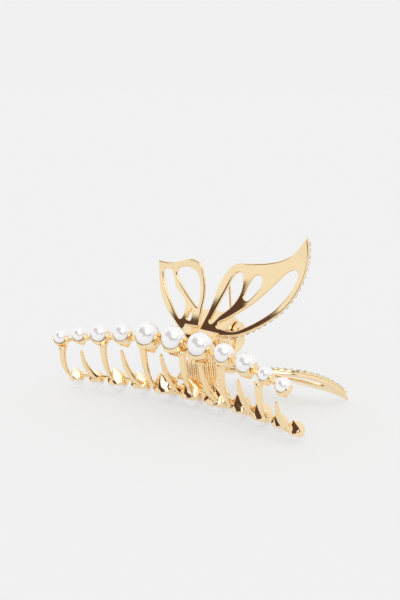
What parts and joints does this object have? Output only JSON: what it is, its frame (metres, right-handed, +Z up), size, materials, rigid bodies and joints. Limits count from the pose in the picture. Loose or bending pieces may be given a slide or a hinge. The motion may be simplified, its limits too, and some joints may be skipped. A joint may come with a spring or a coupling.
{
  "type": "hair claw clip",
  "caption": "Sprung metal hair claw with two toothed jaws, a row of bead pearls along each jaw and pierced butterfly-wing handles edged with small crystals.",
  "frame": {"origin": "under the middle of the whole clip as it lies on a table, at the height of the table", "axes": "+X along the hinge and the pearl rows towards the larger wings, +Y from the toothed mouth towards the wing handles, +Z up from the table"},
  "size_m": [0.1222, 0.0726, 0.0733],
  "materials": {
    "gold_plate": "mirror-polished pale gold plating",
    "spring_wire": "gold-plated spring wire",
    "pearl": "pearl lacquer, soft sheen",
    "crystal": "clear faceted crystal"
  },
  "bodies": {
    "lower_jaw": {"lower_comb": "gold_plate", "lower_forewing": "gold_plate", "lower_hindwing": "gold_plate", "lower_hinge_plate": "gold_plate", "lower_pearl_01": "pearl", "lower_pearl_02": "pearl", "lower_pearl_03": "pearl", "lower_pearl_04": "pearl", "lower_pearl_05": "pearl", "lower_pearl_06": "pearl", "lower_pearl_07": "pearl", "lower_pearl_08": "pearl", "lower_pearl_09": "pearl", "lower_pearl_10": "pearl", "lower_pearl_11": "pearl", "lower_rhinestones": "crystal", "hinge_pin": "gold_plate", "spring_coil": "spring_wire"},
    "upper_jaw": {"upper_comb": "gold_plate", "upper_forewing": "gold_plate", "upper_hindwing": "gold_plate", "upper_hinge_plate": "gold_plate", "upper_pearl_01": "pearl", "upper_pearl_02": "pearl", "upper_pearl_03": "pearl", "upper_pearl_04": "pearl", "upper_pearl_05": "pearl", "upper_pearl_06": "pearl", "upper_pearl_07": "pearl", "upper_pearl_08": "pearl", "upper_pearl_09": "pearl", "upper_pearl_10": "pearl", "upper_pearl_11": "pearl", "upper_rhinestones": "crystal", "spring_upper_leg": "spring_wire"}
  },
  "joints": [
    {"name": "jaw_hinge", "type": "hinge", "parent": "lower_jaw", "child": "upper_jaw", "pos_m": [0, 0.00514, 0.03041], "axis": [-1, 0, 0], "range_deg": [0, 60], "stiffness_Nm_per_rad": 0.12, "springref_deg": -40.11}
  ]
}
